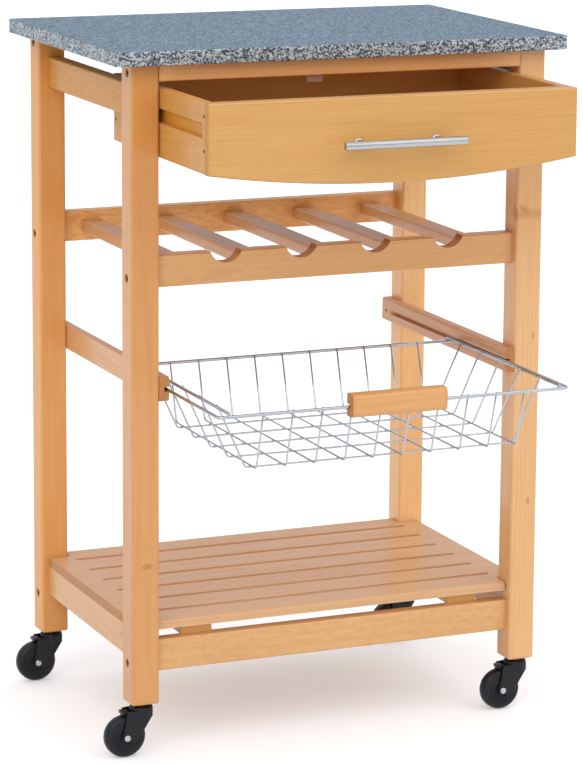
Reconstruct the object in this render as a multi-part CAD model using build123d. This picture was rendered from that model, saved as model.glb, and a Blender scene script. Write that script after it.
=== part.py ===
from build123d import *
from math import cos, radians, sqrt, tan
import os

# Kitchen trolley on four swivel casters: stone worktop, drawer, wine rack, wire basket, slatted shelf.
# Millimetres. X runs to the right, Y to the back, Z up. The front faces -Y.
# The origin is the floor point under the worktop's middle.
# The drawer and the basket stand partly pulled out.

# Worktop slab
total_height = 836.0
top_width = 572.0
top_depth = 392.0
top_thick = 16.5
top_corner_radius = 7.0
top_arris = 1.4
top_under_chamfer = 0.7

# Legs: square posts, placed by their outer faces
leg_size = 34.0
frame_width = 526.0
frame_depth = 360.0
leg_foot_height = 65.0
leg_round = 3.0
leg_end_chamfer = 1.0

# Rails: all of one board thickness
rail_thick = 18.0
rail_height = 38.0
rail_round = 2.0
top_rail_height = 20.0
upper_side_rail_drop = 26.2
upper_side_rail_inset = 12.0
lower_side_rail_inset = 9.0
front_rail_inset = 10.0
shelf_underside = 151.5

# Wine rack: two cross rails with five slats between them
wine_rail_bottom = 560.0
wine_rail_height = 38.0
slat_count = 5
slat_pitch = 95.0
slat_width = 28.0
slat_thick = 14.0
slat_rise = 12.0
slat_round = 2.0
scoop_width = 39.0
scoop_depth = 14.0
tenon_length = 8.0
tenon_width = 18.0
tenon_thick = 8.0
joint_fit = 0.1

# Slatted shelf and the battens below it
shelf_half_width = 254.0
shelf_half_depth = 169.0
shelf_thick = 10.5
shelf_round = 4.0
shelf_notch_gap = 1.5
slot_count = 6
slot_pitch = 50.0
slot_width = 8.0
slot_end_margin = 28.0
batten_width = 40.0
batten_thick = 12.0
batten_centre = 174.0
batten_half_length = 157.0
batten_screw_from_end = 45.0

# Drawer box, front panel and side grooves
drawer_pulled_out = 150.0
drawer_gap = 1.0
drawer_under_rail = 7.5
drawer_height = 80.0
drawer_length = 304.0
drawer_side_thick = 12.0
drawer_side_round = 1.2
front_panel_thick = 18.0
front_panel_lip = 10.0
front_panel_bow = 18.5
front_panel_round = 1.5
drawer_back_thick = 12.0
drawer_bottom_thick = 4.0
drawer_bottom_rise = 6.0
drawer_bottom_seat = 5.0
side_screw_rise = 26.0
side_screw_drop = 15.0
bottom_fit = 0.1

# Wooden strips that the drawer slides on
strip_height = 16.0
strip_top_drop = 23.3
strip_in_groove = 6.0
strip_top_clearance = 0.3
strip_low_clearance = 0.7
strip_side_clearance = 0.8
strip_front_setback = 0.5
strip_screw_below_middle = 2.0
strip_screw_from_leg_end = 10.0

# Stop behind the top rail that the drawer's back comes up against
stop_width = 20.0
stop_thick = 3.0
stop_height = 26.0
stop_below_rail = 10.0
stop_middle = -29.0
stop_corner = 2.0
stop_screw_drop = 8.0
stop_screw_length = 14.0

# Steel drawer handle
handle_bar_radius = 5.0
handle_bar_length = 150.0
handle_bar_chamfer = 0.8
handle_stand_off = 25.0
handle_drop = 50.6
handle_post_spacing = 96.0
handle_post_radius = 4.0

# Grooved rails that carry the basket
runner_bottom = 428.0
runner_height = 29.5
runner_thick = 12.0
runner_round = 2.5
runner_groove_depth = 6.0
runner_groove_stop = 36.0
runner_groove_run_out = 9.6
runner_back_screw_behind_middle = 5.0
groove_low_clearance = 0.3
groove_top_clearance = 1.3
groove_below_middle = 1.0
groove_side_clearance = 2.0

# Wire basket
basket_pulled_out = 180.0
basket_length = 300.0
basket_back_gap = 2.0
frame_wire_radius = 2.0
frame_wire_corner = 7.0
side_bar_inset = 12.0
grid_wire_radius = 1.1
grid_wire_bend = 6.0
wire_weld_gap = 0.05
wire_tip = 1.6
basket_depth = 68.0
end_lean = 17.0
side_lean = 24.5
long_wire_count = 10
long_wire_margin = 7.0
cross_wire_count = 5
cross_wire_pitch = 53.5

# Wooden grip on the basket's front wire
grip_length = 118.0
grip_height = 27.0
grip_thick = 18.0
grip_above_wire = 1.5
grip_round = 6.0
grip_back_round = 2.0
grip_slot_clearance = 0.2

# Bolts that hold the cross rails to the legs
bolt_radius = 3.0
bolt_head_radius = 5.0
bolt_head_length = 5.0
bolt_head_sink = 1.0
bolt_into_rail = 24.0
bolt_socket_radius = 2.3
bolt_socket_depth = 2.5
bolt_hole_fit = 0.2
bolt_below_middle = 7.0
flush_bolt_from_face = 13.5

# Dowels that hold the side rails to the legs
dowel_radius = 4.0
dowel_half_length = 14.0
dowel_offset = 9.0
dowel_fit = 0.05
dowel_chamfer = 0.6

# Countersunk wood screws
screw_radius = 1.5
screw_head_radius = 2.5
screw_length = 20.0
screw_fit = 0.05
handle_screw_head_radius = 3.4
handle_screw_in_post = 9.0
screw_cross_width = 0.9
screw_cross_depth = 1.0
shelf_screw_length = 18.0
bottom_screw_length = 15.0

# Casters
wheel_radius = 25.0
wheel_width = 17.0
wheel_shoulder = 6.5
wheel_recess_radius = 15.0
wheel_recess_depth = 1.4
hub_radius = 6.5
trail = 21.0
axle_radius = 3.0
axle_fit = 0.02
wheel_bore_fit = 0.08
rivet_head_radius = 3.6
rivet_head_height = 1.4
fork_gap = 0.8
fork_plate_thick = 2.7
fork_end_radius = 5.5
fork_heel_radius = 8.2
fork_heel_from_wheel = 7.0
fork_heel_rise = 1.5
fork_edge_inside_wall = 0.3
housing_radius = 14.0
housing_height = 9.5
housing_cone = 2.5
housing_cone_inset = 2.2
housing_skirt = 3.5
housing_wall = 2.2
housing_over_wheel = 1.5
fork_over_wheel = 1.4
stem_radius = 4.0
stem_in_leg = 34.0
stem_fit = 0.08
stem_press_fit = 0.02
stem_chamfer = 0.8
collar_radius = 6.5
stem_head_radius = 6.5
stem_head_height = 2.0
stem_head_clearance = 0.3
lever_width = 15.0
lever_thick = 4.0
lever_length = 7.6
lever_round = 1.2
lever_pivot_from_wheel = 2.9
lever_pivot_rise = 3.6
lever_pin_radius = 1.3
lever_pin_fit = 0.08
lever_pin_length = 2.0
lever_plate_margin = 1.4
brake_pad_width = 3.0
brake_pad_from_pivot = 4.4
brake_pad_inset = 1.0
brake_pad_clearance = 0.3

# Planes that several pieces share
leg_top = total_height - top_thick
leg_x_out = frame_width / 2
leg_x_in = leg_x_out - leg_size
leg_y_out = frame_depth / 2
leg_y_in = leg_y_out - leg_size
leg_x_mid = leg_x_out - leg_size / 2
leg_y_mid = leg_y_out - leg_size / 2
flush_bolt_y = leg_y_out - flush_bolt_from_face
top_rail_bottom = leg_top - top_rail_height
upper_side_rail_top = leg_top - upper_side_rail_drop
lower_rail_top = shelf_underside - batten_thick
lower_rail_bottom = lower_rail_top - rail_height
wine_rail_y_front = leg_y_out - front_rail_inset
slat_bottom = wine_rail_bottom + slat_rise
drawer_x_out = leg_x_in - drawer_gap
drawer_x_in = drawer_x_out - drawer_side_thick
drawer_top = top_rail_bottom - drawer_under_rail
drawer_low = drawer_top - drawer_height
drawer_y_front = -leg_y_out - drawer_pulled_out
drawer_y_side = drawer_y_front + front_panel_lip
drawer_y_back = drawer_y_front + drawer_length
drawer_bottom_z = drawer_low + drawer_bottom_rise
strip_top = drawer_top - strip_top_drop
strip_x_in = drawer_x_out - strip_in_groove
strip_y_front = -leg_y_out + front_panel_thick + strip_front_setback
handle_z = drawer_top - handle_drop
handle_y = drawer_y_front - handle_stand_off
runner_x_in = leg_x_in - runner_thick
groove_x = runner_x_in + runner_groove_depth
wire_x = groove_x - groove_side_clearance - frame_wire_radius
groove_height = 2 * frame_wire_radius + groove_low_clearance + groove_top_clearance
groove_bottom = runner_bottom + runner_height / 2 - groove_height / 2 - groove_below_middle
wire_z = groove_bottom + groove_low_clearance + frame_wire_radius
groove_y_end = leg_y_out - runner_groove_stop
wire_y_back = groove_y_end - basket_back_gap - frame_wire_radius - basket_pulled_out
wire_y_front = wire_y_back - basket_length
bar_x = wire_x - side_bar_inset
bar_z = wire_z + 2 * frame_wire_radius + wire_weld_gap
bottom_wire_z = wire_z - basket_depth
wheel_y_in = wheel_width / 2 + fork_gap
fork_y_out = wheel_y_in + fork_plate_thick
housing_bottom = 2 * wheel_radius + housing_over_wheel
housing_top = housing_bottom + housing_height
lever_x = -trail + lever_pivot_from_wheel
lever_z = 2 * wheel_radius + lever_pivot_rise

sides = (("left", -1), ("right", 1))
ends = (("front", -1), ("back", 1))


# A plain block between two corners
def block(x0, x1, y0, y1, z0, z1):
    centre = ((x0 + x1) / 2, (y0 + y1) / 2, (z0 + z1) / 2)
    return Pos(*centre) * Box(abs(x1 - x0), abs(y1 - y0), abs(z1 - z0))


# A round rod from one point to another
def rod(start, end, radius):
    line = Vector(*end) - Vector(*start)
    return extrude(Plane(origin=start, z_dir=line) * Circle(radius), line.length)


# Rounds a board's four long edges
def rounded(board, axis, radius):
    return fillet(board.edges().filter_by(axis), radius)


# A countersunk screw that points down from its flat head, grown by its fit for the hole it makes
def screw(radius, head_radius, length, fit=0.0):
    half_outline = Polyline(
        (0, 0),
        (head_radius + fit, 0),
        (radius + fit, radius - head_radius),
        (radius + fit, radius - length),
        (0, -length - fit),
        close=True,
    )
    turned = revolve(Plane.XZ * make_face(half_outline), Axis.Z)
    if fit:
        return turned
    cross = Box(head_radius * 1.3, screw_cross_width, 2 * screw_cross_depth)
    return turned - cross - Rot(0, 0, 90) * cross


# Puts a screw, or the hole for it, on a face whose outward side is given
def screw_on(place, outward, shape):
    return Plane(origin=place, z_dir=outward) * shape


# A bolt that points down from its head, with a hexagonal socket
def bolt(length):
    head = Pos(0, 0, -bolt_head_length / 2) * Cylinder(bolt_head_radius, bolt_head_length)
    shank = Pos(0, 0, -bolt_head_length - length / 2) * Cylinder(bolt_radius, length)
    socket = extrude(RegularPolygon(bolt_socket_radius, 6), -bolt_socket_depth)
    return head + shank - socket


# Heights of the bolts in each leg: top rail, wine rail, lower rail
def bolt_heights():
    return (
        top_rail_bottom + top_rail_height / 2,
        wine_rail_bottom + wine_rail_height / 2 - bolt_below_middle,
        lower_rail_bottom + rail_height / 2 - bolt_below_middle,
    )


# Y and Z of the bolts in the front or back legs: those of rails flush with the legs sit nearer their face
def bolt_places(sy):
    top, wine, lower = bolt_heights()
    wine_y = -leg_y_mid if sy < 0 else flush_bolt_y
    return (sy * flush_bolt_y, top), (wine_y, wine), (sy * leg_y_mid, lower)


# The sunk hole for a bolt, through the leg and into the rail's end
def bolt_hole(sx, y, z):
    reach = leg_x_in - bolt_into_rail
    shank = rod((sx * leg_x_out, y, z), (sx * reach, y, z), bolt_radius + bolt_hole_fit)
    sunk = leg_x_out - bolt_head_sink - bolt_head_length
    head = rod((sx * (leg_x_out + 1), y, z), (sx * sunk, y, z), bolt_head_radius + bolt_hole_fit)
    return shank + head


def frame_bolts():
    length = leg_x_out - bolt_head_sink - bolt_head_length - leg_x_in + bolt_into_rail
    made = []
    for _, sx in sides:
        for _, sy in ends:
            for y, z in bolt_places(sy):
                seat = (sx * (leg_x_out - bolt_head_sink), y, z)
                made.append(Plane(origin=seat, z_dir=(sx, 0, 0)) * bolt(length))
    return made


# Middle X and Z of each kind of side rail
def side_rail_axes():
    upper = leg_x_out - upper_side_rail_inset - rail_thick / 2
    lower = leg_x_out - lower_side_rail_inset - rail_thick / 2
    return (
        (upper, upper_side_rail_top - rail_height / 2),
        (lower, shelf_underside - rail_height / 2),
    )


def dowel_places():
    for _, sx in sides:
        for _, sy in ends:
            for x, z in side_rail_axes():
                for dz in (-dowel_offset, dowel_offset):
                    yield sx, sy, x, z + dz


def dowel_shape(sx, sy, x, z, fit):
    inner = sy * (leg_y_in - dowel_half_length - fit)
    outer = sy * (leg_y_in + dowel_half_length + fit)
    return rod((sx * x, inner, z), (sx * x, outer, z), dowel_radius + fit)


def rail_dowels():
    return [chamfer(dowel_shape(*place, 0.0).edges(), dowel_chamfer) for place in dowel_places()]


def dowel_holes(sx, sy=None):
    picked = [p for p in dowel_places() if p[0] == sx and sy in (None, p[1])]
    return [dowel_shape(*place, dowel_fit) for place in picked]


# Screws of the grooved basket rails: one in the groove's floor, one behind its end
def runner_screw_places(sx):
    z = groove_bottom + groove_height / 2
    return (
        (sx * groove_x, -leg_y_mid, z),
        (sx * runner_x_in, leg_y_mid + runner_back_screw_behind_middle, z),
    )


# Screws of the drawer's strips, one into each leg
def strip_screw_places(sx):
    z = strip_top - strip_height / 2 - strip_screw_below_middle
    return [(sx * strip_x_in, sy * (leg_y_in + strip_screw_from_leg_end), z) for sy in (-1, 1)]


def batten_screw_places(sx):
    z = lower_rail_top
    return [(sx * batten_centre, sy * (batten_half_length - batten_screw_from_end), z) for sy in (-1, 1)]


def stop_screw_place():
    front = -leg_y_out + rail_thick
    return (stop_middle, front + stop_thick, top_rail_bottom - stop_below_rail + stop_height - stop_screw_drop)


def wood_screws():
    small = screw(screw_radius, screw_head_radius, screw_length)
    short = screw(screw_radius, screw_head_radius, shelf_screw_length)
    made = []
    for _, sx in sides:
        for place in runner_screw_places(sx):
            made.append(screw_on(place, (-sx, 0, 0), small))
        for place in strip_screw_places(sx):
            made.append(screw_on(place, (-sx, 0, 0), small))
        for place in batten_screw_places(sx):
            made.append(screw_on(place, (0, 0, -1), short))
    stop = screw(screw_radius, screw_head_radius, stop_screw_length)
    made.append(screw_on(stop_screw_place(), (0, 1, 0), stop))
    return made


def stop_screw_hole():
    hole = screw(screw_radius, screw_head_radius, stop_screw_length, screw_fit)
    return screw_on(stop_screw_place(), (0, 1, 0), hole)


def side_screw_holes(sx):
    hole = screw(screw_radius, screw_head_radius, screw_length, screw_fit)
    places = [*runner_screw_places(sx), *strip_screw_places(sx)]
    return [screw_on(place, (-sx, 0, 0), hole) for place in places]


def batten_screw_holes(sx):
    hole = screw(screw_radius, screw_head_radius, shelf_screw_length, screw_fit)
    return [screw_on(place, (0, 0, -1), hole) for place in batten_screw_places(sx)]


def worktop():
    slab = block(-top_width / 2, top_width / 2, -top_depth / 2, top_depth / 2, leg_top, total_height)
    slab = fillet(slab.edges().filter_by(Axis.Z), top_corner_radius)
    faces = slab.faces().sort_by(Axis.Z)
    slab = fillet(faces[-1].edges(), top_arris)
    return chamfer(slab.faces().sort_by(Axis.Z)[0].edges(), top_under_chamfer)


def leg(sx, sy):
    post = block(sx * leg_x_in, sx * leg_x_out, sy * leg_y_in, sy * leg_y_out, leg_foot_height, leg_top)
    post = rounded(post, Axis.Z, leg_round)
    post = chamfer(post.faces().sort_by(Axis.Z)[0].edges(), leg_end_chamfer)
    foot = (sx * leg_x_mid, sy * leg_y_mid, leg_foot_height)
    socket = (foot[0], foot[1], leg_foot_height + stem_in_leg)
    post -= rod(foot, socket, stem_radius + stem_press_fit)
    for y, z in bolt_places(sy):
        post -= bolt_hole(sx, y, z)
    for hole in dowel_holes(sx, sy):
        post -= hole
    for hole in side_screw_holes(sx):
        post -= hole
    return post


# A board across the frame between the legs, bolted at both ends
def cross_rail(y0, y1, z0, z1, bolt_place):
    board = block(-leg_x_in, leg_x_in, y0, y1, z0, z1)
    board = rounded(board, Axis.X, rail_round)
    for _, sx in sides:
        board -= bolt_hole(sx, *bolt_place)
    return board


def top_rail(sy):
    outer = sy * leg_y_out
    inner = sy * (leg_y_out - rail_thick)
    board = cross_rail(inner, outer, top_rail_bottom, leg_top, bolt_places(sy)[0])
    return board - stop_screw_hole() if sy < 0 else board


# The stop is a small plate screwed behind the front top rail
def drawer_stop():
    front = -leg_y_out + rail_thick
    low = top_rail_bottom - stop_below_rail
    half = stop_width / 2
    plate = block(stop_middle - half, stop_middle + half, front, front + stop_thick, low, low + stop_height)
    plate = fillet(plate.edges().filter_by(Axis.Y), stop_corner)
    return plate - stop_screw_hole()


def lower_rail(sy):
    outer = sy * (leg_y_out - front_rail_inset)
    inner = outer - sy * rail_thick
    return cross_rail(inner, outer, lower_rail_bottom, lower_rail_top, bolt_places(sy)[2])


def slat_middles():
    first = -(slat_count - 1) / 2
    return [(first + i) * slat_pitch for i in range(slat_count)]


def tenon(x, y0, y1, fit):
    half = tenon_width / 2 + fit
    z = slat_bottom + slat_thick / 2
    rise = tenon_thick / 2 + fit
    return block(x - half, x + half, y0, y1, z - rise, z + rise)


# The rack's front rail is set back and scooped for the bottles' necks
def wine_rail_front():
    outer = -wine_rail_y_front
    inner = outer + rail_thick
    top = wine_rail_bottom + wine_rail_height
    board = cross_rail(inner, outer, wine_rail_bottom, top, bolt_places(-1)[1])
    radius = (scoop_width ** 2 / 4 + scoop_depth ** 2) / (2 * scoop_depth)
    middles = slat_middles()
    for x in [(a + b) / 2 for a, b in zip(middles, middles[1:])]:
        z = top - scoop_depth + radius
        board -= rod((x, outer - 1, z), (x, inner + 1, z), radius)
    for x in middles:
        board -= tenon(x, inner - tenon_length - joint_fit, inner + 1, joint_fit)
    return board


# The rack's back rail is flush with the legs and plain
def wine_rail_back():
    outer = leg_y_out
    inner = outer - rail_thick
    top = wine_rail_bottom + wine_rail_height
    board = cross_rail(inner, outer, wine_rail_bottom, top, bolt_places(1)[1])
    for x in slat_middles():
        board -= tenon(x, inner - 1, inner + tenon_length + joint_fit, joint_fit)
    return board


def wine_slat(x):
    front = -wine_rail_y_front + rail_thick
    back = leg_y_out - rail_thick
    half = slat_width / 2
    board = block(x - half, x + half, front, back, slat_bottom, slat_bottom + slat_thick)
    board = rounded(board, Axis.Y, slat_round)
    return board + tenon(x, front - tenon_length, back + tenon_length, 0.0)


# A board between a front and a back leg, dowelled at both ends
def side_rail(sx, inset, top):
    outer = sx * (leg_x_out - inset)
    inner = outer - sx * rail_thick
    board = block(inner, outer, -leg_y_in, leg_y_in, top - rail_height, top)
    board = rounded(board, Axis.Y, rail_round)
    for hole in dowel_holes(sx):
        board -= hole
    return board


# The strip that the drawer's side groove runs on
def drawer_strip(sx):
    board = block(
        sx * strip_x_in, sx * leg_x_in, strip_y_front, leg_y_out, strip_top - strip_height, strip_top
    )
    for hole in side_screw_holes(sx):
        board -= hole
    return board


# The grooved rail that the basket's frame wire runs in
def basket_runner(sx):
    top = runner_bottom + runner_height
    board = block(sx * runner_x_in, sx * leg_x_in, -leg_y_out, leg_y_out, runner_bottom, top)
    inner_edges = board.edges().filter_by(Axis.Y).sort_by(Axis.X)
    board = fillet(inner_edges[:2] if sx > 0 else inner_edges[2:], runner_round)
    outline = make_face(
        Polyline(
            (runner_x_in - 1, -leg_y_out - 1),
            (groove_x, -leg_y_out - 1),
            (groove_x, groove_y_end),
            (runner_x_in, groove_y_end + runner_groove_run_out),
            (runner_x_in - 1, groove_y_end + runner_groove_run_out),
            close=True,
        )
    )
    groove = extrude(Pos(0, 0, groove_bottom) * outline, groove_height)
    if sx < 0:
        groove = mirror(groove, about=Plane.YZ)
    board -= groove
    for hole in side_screw_holes(sx):
        board -= hole
    return board


def shelf_board():
    top = shelf_underside + shelf_thick
    w = shelf_half_width
    d = shelf_half_depth
    board = block(-w, w, -d, d, shelf_underside, top)
    for _, sy in ends:
        edge = board.edges().filter_by(Axis.X).group_by(Axis.Z)[-1].sort_by(Axis.Y)
        board = fillet(edge[0] if sy < 0 else edge[-1], shelf_round)
    x = leg_x_in - shelf_notch_gap
    y = leg_y_in - shelf_notch_gap
    for _, sx in sides:
        for _, sy in ends:
            board -= block(sx * x, sx * (w + 1), sy * y, sy * (d + 1), shelf_underside - 1, top + 1)
    reach = w - slot_end_margin
    for i in range(slot_count):
        y = (i - (slot_count - 1) / 2) * slot_pitch
        slot = Pos(0, y, shelf_underside - 1) * SlotOverall(2 * reach, slot_width)
        board -= extrude(slot, shelf_thick + 2)
    for _, sx in sides:
        for hole in batten_screw_holes(sx):
            board -= hole
    return board


def shelf_batten(sx):
    x0 = sx * batten_centre - batten_width / 2
    x1 = sx * batten_centre + batten_width / 2
    board = block(x0, x1, -batten_half_length, batten_half_length, lower_rail_top, shelf_underside)
    board = rounded(board, Axis.Z, rail_round)
    for hole in batten_screw_holes(sx):
        board -= hole
    return board


# The bottom board's outline, grown by its fit for the grooves that hold it
def drawer_bottom_shape(fit):
    x = drawer_x_in + drawer_bottom_seat + fit
    front = drawer_y_front + front_panel_thick - drawer_bottom_seat - fit
    z = drawer_bottom_z
    return block(-x, x, front, drawer_y_back, z - fit, z + drawer_bottom_thick + fit)


def drawer_bottom():
    board = drawer_bottom_shape(0.0)
    for hole in drawer_bottom_screw_shapes(screw_fit):
        board -= hole
    return board


# The front panel: level top, lower edge bowed down, rabbeted behind its lip for the sides
def drawer_front():
    x = drawer_x_out
    bow = ThreePointArc((-x, drawer_low), (0, drawer_low - front_panel_bow), (x, drawer_low))
    outline = make_face([bow, Polyline((x, drawer_low), (x, drawer_top), (-x, drawer_top), (-x, drawer_low))])
    panel = extrude(Plane(origin=(0, drawer_y_front, 0), x_dir=(1, 0, 0), z_dir=(0, -1, 0)) * outline,
                    -front_panel_thick)
    face = panel.faces().sort_by(Axis.Y)[0]
    panel = fillet(face.edges(), front_panel_round)
    low = drawer_low - front_panel_bow - 1
    back = drawer_y_front + front_panel_thick + 1
    for _, sx in sides:
        panel -= block(sx * drawer_x_in, sx * (x + 1), drawer_y_side, back, low, drawer_top + 1)
    panel -= drawer_bottom_shape(bottom_fit)
    for cut in (*drawer_side_screw_shapes(screw_fit), *handle_screw_shapes(screw_fit)):
        panel -= cut
    return panel


def drawer_side(sx):
    board = block(sx * drawer_x_in, sx * drawer_x_out, drawer_y_side, drawer_y_back, drawer_low, drawer_top)
    board = rounded(board, Axis.Y, drawer_side_round)
    groove_x_in = strip_x_in - strip_side_clearance
    top = strip_top + strip_top_clearance
    low = strip_top - strip_height - strip_low_clearance
    front = drawer_y_front + front_panel_thick
    board -= block(sx * groove_x_in, sx * (drawer_x_out + 1), front, drawer_y_back + 1, low, top)
    board -= drawer_bottom_shape(bottom_fit)
    for cut in drawer_side_screw_shapes(screw_fit):
        board -= cut
    return board


def drawer_back():
    front = drawer_y_back - drawer_back_thick
    low = drawer_bottom_z + drawer_bottom_thick + bottom_fit
    board = block(-drawer_x_in, drawer_x_in, front, drawer_y_back, low, drawer_top)
    for cut in (*drawer_side_screw_shapes(screw_fit), *drawer_bottom_screw_shapes(screw_fit)):
        board -= cut
    return board


# Screws through each side into the ends of the front and back
def drawer_side_screw_shapes(fit=0.0):
    shape = screw(screw_radius, screw_head_radius, screw_length, fit)
    front = (drawer_y_side + drawer_y_front + front_panel_thick) / 2
    back = drawer_y_back - drawer_back_thick / 2
    high = drawer_top - side_screw_drop
    low = drawer_low + side_screw_rise
    made = []
    for _, sx in sides:
        for y in (front, back):
            for z in (low, high):
                made.append(screw_on((sx * drawer_x_out, y, z), (sx, 0, 0), shape))
    return made


# Screws up through the bottom into the back
def drawer_bottom_screw_shapes(fit=0.0):
    shape = screw(screw_radius, screw_head_radius, bottom_screw_length, fit)
    y = drawer_y_back - drawer_back_thick / 2
    return [screw_on((x, y, drawer_bottom_z), (0, 0, -1), shape) for x in (-drawer_x_in / 2, 0, drawer_x_in / 2)]


# Screws from inside the front panel into the handle's posts
def handle_screw_shapes(fit=0.0):
    shape = screw(screw_radius, handle_screw_head_radius, front_panel_thick + handle_screw_in_post, fit)
    y = drawer_y_front + front_panel_thick
    half = handle_post_spacing / 2
    return [screw_on((x, y, handle_z), (0, 1, 0), shape) for x in (-half, half)]


def drawer_screws():
    return [*drawer_side_screw_shapes(), *drawer_bottom_screw_shapes(), *handle_screw_shapes()]


def drawer_handle_bar():
    half = handle_bar_length / 2
    bar = rod((-half, handle_y, handle_z), (half, handle_y, handle_z), handle_bar_radius)
    return chamfer(bar.edges().filter_by(GeomType.CIRCLE), handle_bar_chamfer)


# Each post is hollowed to sit on the bar
def drawer_handle_posts():
    bar = rod((-handle_bar_length, handle_y, handle_z), (handle_bar_length, handle_y, handle_z),
              handle_bar_radius)
    made = []
    for _, sx in sides:
        x = sx * handle_post_spacing / 2
        post = rod((x, drawer_y_front, handle_z), (x, handle_y, handle_z), handle_post_radius) - bar
        for cut in handle_screw_shapes(screw_fit):
            post -= cut
        made.append(post.solids().sort_by(Axis.Y)[-1])
    return made


# A wire of round section along a line bent with even radii
def bent_wire(points, bend, radius):
    path = FilletPolyline(*points, radius=bend)
    return sweep(Plane(origin=path @ 0, z_dir=path % 0) * Circle(radius), path=path)


# The outer frame wire, a closed rectangle with rounded corners that runs in the grooves
def basket_frame_wire():
    corners = [(wire_x, wire_y_front), (wire_x, wire_y_back), (-wire_x, wire_y_back), (-wire_x, wire_y_front)]
    points = [(x, y, wire_z) for x, y in corners]
    path = FilletPolyline(*points, radius=frame_wire_corner, close=True)
    return sweep(Plane(origin=path @ 0, z_dir=path % 0) * Circle(frame_wire_radius), path=path)


# Straight bars that lie across the frame wire's front and back
def basket_side_bars():
    over = frame_wire_radius
    return [
        rod((sx * bar_x, wire_y_front - over, bar_z), (sx * bar_x, wire_y_back + over, bar_z), frame_wire_radius)
        for _, sx in sides
    ]


# Where a leaning grid wire passes the wire that it hangs from: at its height, and at its bend below
def hanging(top_at, top_z, lean, bend_z, toward):
    touch = frame_wire_radius + grid_wire_radius + wire_weld_gap
    beside = top_at + toward * touch / cos(radians(lean))
    step = toward * tan(radians(lean))
    return (beside - step * wire_tip, top_z + wire_tip), (beside + step * (top_z - bend_z), bend_z)


def long_wire_middles():
    _, bend = hanging(bar_x, bar_z, side_lean, bottom_wire_z, -1)
    reach = bend[0] - long_wire_margin
    gap = 2 * reach / (long_wire_count - 1)
    return [-reach + i * gap for i in range(long_wire_count)]


# Wires from the front frame wire down, along the bottom and up to the back frame wire
def basket_long_wires():
    front_tip, front_bend = hanging(wire_y_front, wire_z, end_lean, bottom_wire_z, 1)
    back_tip, back_bend = hanging(wire_y_back, wire_z, end_lean, bottom_wire_z, -1)
    line = (front_tip, front_bend, back_bend, back_tip)
    return [
        bent_wire([(x, y, z) for y, z in line], grid_wire_bend, grid_wire_radius)
        for x in long_wire_middles()
    ]


def cross_wire_middles():
    middle = (wire_y_front + wire_y_back) / 2
    first = -(cross_wire_count - 1) / 2
    return [middle + (first + i) * cross_wire_pitch for i in range(cross_wire_count)]


# Wires from one side bar down, under the lengthwise wires and up to the other side bar
def basket_cross_wires():
    level = bottom_wire_z - 2 * grid_wire_radius - wire_weld_gap
    tip, bend = hanging(bar_x, bar_z, side_lean, level, -1)
    line = (tip, bend, (-bend[0], bend[1]), (-tip[0], tip[1]))
    return [
        bent_wire([(x, y, z) for x, z in line], grid_wire_bend, grid_wire_radius)
        for y in cross_wire_middles()
    ]


# The wooden grip is slotted from behind for the frame wire and notched for the wires that hang from it
def basket_grip():
    half = grip_length / 2
    low = wire_z + grip_above_wire - grip_height / 2
    front = wire_y_front - grip_thick / 2
    back = wire_y_front + grip_thick / 2
    bar = block(-half, half, front, back, low, low + grip_height)
    long_edges = bar.edges().filter_by(Axis.X).sort_by(Axis.Y)
    bar = fillet(long_edges[:2], grip_round)
    back_edges = bar.edges().filter_by(Axis.X).group_by(Axis.Y)[-1]
    bar = fillet(back_edges, grip_back_round)
    r = frame_wire_radius + grip_slot_clearance
    bar -= block(-half - 1, half + 1, wire_y_front, back + 1, wire_z - r, wire_z + r)
    bar -= rod((-half - 1, wire_y_front, wire_z), (half + 1, wire_y_front, wire_z), r)
    n = grid_wire_radius + grip_slot_clearance
    for x in long_wire_middles():
        if abs(x) < half:
            bar -= block(x - n, x + n, wire_y_front, back + 1, low - 1, wire_z + wire_tip + 2)
    return bar


# Local frame of a caster: its swivel axis is upright through the origin, its wheel trails towards -X
def caster_place(sx, sy):
    return Pos(sx * leg_x_mid, sy * leg_y_mid, 0)


# Stem with the collar under the leg and the head that carries the housing
def caster_stem():
    stem_low = housing_bottom
    stem = rod((0, 0, stem_low), (0, 0, leg_foot_height + stem_in_leg), stem_radius)
    collar = rod((0, 0, housing_top + stem_head_clearance), (0, 0, leg_foot_height), collar_radius)
    head = rod((0, 0, stem_low), (0, 0, stem_low + stem_head_height), stem_head_radius)
    return chamfer(stem.edges().sort_by(Axis.Z)[-1], stem_chamfer) + collar + head


# A round in the fork's outline, given from the caster's axis
def outline_round(x, z, radius):
    return (Pos(x, z) * Circle(radius)).edges()


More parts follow.
